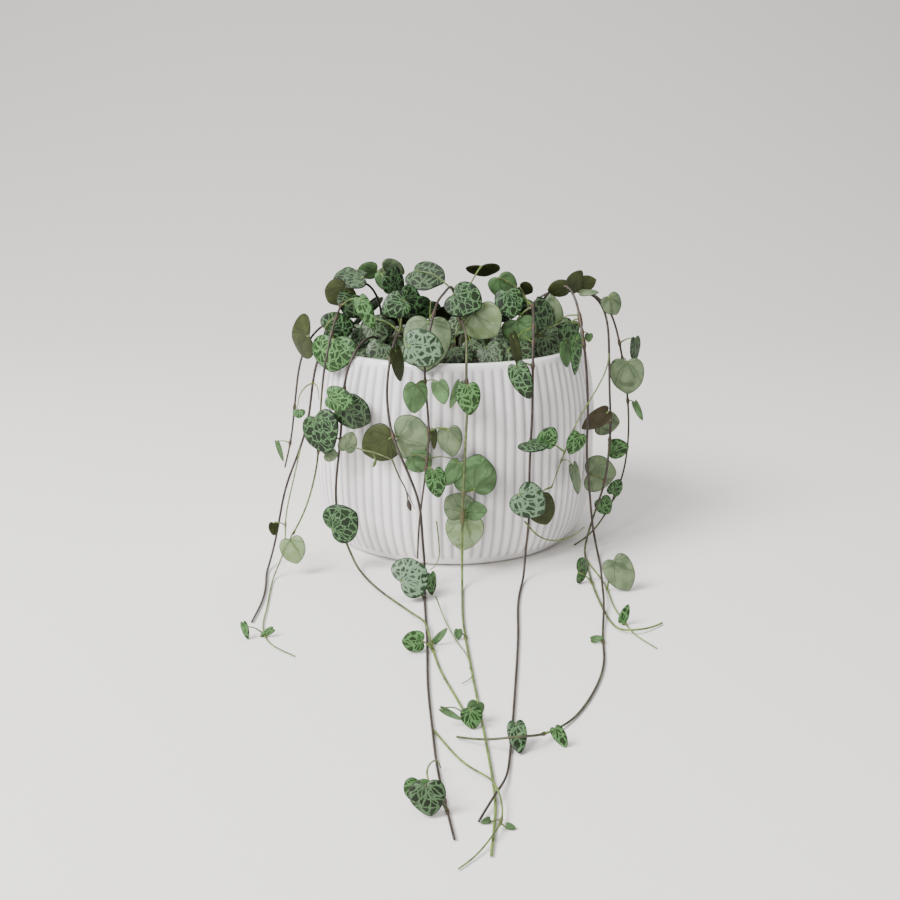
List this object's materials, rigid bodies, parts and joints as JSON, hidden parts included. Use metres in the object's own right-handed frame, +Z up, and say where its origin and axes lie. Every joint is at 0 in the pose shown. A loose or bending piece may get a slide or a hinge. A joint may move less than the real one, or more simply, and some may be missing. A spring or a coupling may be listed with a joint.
{
  "type": "potted string of hearts",
  "caption": "Trailing string of hearts in a ribbed glazed pot, its thin stems spilling over the rim and running out along the surface it stands on.",
  "frame": {"origin": "centre of the pot's flat underside, on the surface the pot stands on", "axes": "+Z up out of the pot, -Y towards the front, where the stems run out along the surface, +X to the right seen from the front"},
  "size_m": [0.1727, 0.3578, 0.1315],
  "materials": {
    "glaze": "off-white satin glaze",
    "potting_mix": "dark crumbly potting mix, matt",
    "stem": "thin wiry stems, purple-brown, the young ones green",
    "leaf": "fleshy blades, dark green with silvery-green marbling above and plain sage or olive beneath"
  },
  "bodies": {
    "root": {"pot": "glaze", "potting_mix": "potting_mix", "stem_left_short": "stem", "stem_left_long": "stem", "stem_left_front": "stem", "stem_left_runner": "stem", "stem_middle_long": "stem", "stem_middle_arch": "stem", "stem_middle_green": "stem", "stem_right_front": "stem", "stem_right_curl": "stem", "stem_right_forked": "stem", "stem_right_outer": "stem", "leaf_crown_left_01": "leaf", "leaf_crown_left_02": "leaf", "leaf_crown_left_03": "leaf", "leaf_crown_left_04": "leaf", "leaf_crown_left_05": "leaf", "leaf_crown_left_06": "leaf", "leaf_crown_left_07": "leaf", "leaf_crown_left_08": "leaf", "leaf_crown_left_09": "leaf", "leaf_crown_middle_01": "leaf", "leaf_crown_middle_02": "leaf", "leaf_crown_middle_03": "leaf", "leaf_crown_middle_04": "leaf", "leaf_crown_middle_05": "leaf", "leaf_crown_right_01": "leaf", "leaf_crown_right_02": "leaf", "leaf_crown_right_03": "leaf", "leaf_crown_right_04": "leaf", "leaf_crown_right_05": "leaf", "leaf_crown_right_06": "leaf", "leaf_crown_right_07": "leaf", "leaf_crown_right_08": "leaf", "leaf_hanging_left_01": "leaf", "leaf_hanging_left_02": "leaf", "leaf_hanging_left_03": "leaf", "leaf_hanging_left_04": "leaf", "leaf_hanging_left_05": "leaf", "leaf_hanging_middle_01": "leaf", "leaf_hanging_middle_02": "leaf", "leaf_hanging_middle_03": "leaf", "leaf_hanging_middle_04": "leaf", "leaf_hanging_middle_05": "leaf", "leaf_hanging_middle_06": "leaf", "leaf_hanging_middle_07": "leaf", "leaf_hanging_middle_08": "leaf", "leaf_hanging_middle_09": "leaf", "leaf_hanging_right_01": "leaf", "leaf_hanging_right_02": "leaf", "leaf_hanging_right_03": "leaf", "leaf_hanging_right_04": "leaf", "leaf_hanging_right_05": "leaf", "leaf_hanging_right_06": "leaf", "leaf_hanging_right_07": "leaf", "leaf_resting_01": "leaf", "leaf_resting_02": "leaf", "leaf_resting_03": "leaf", "leaf_resting_04": "leaf"}
  },
  "joints": []
}
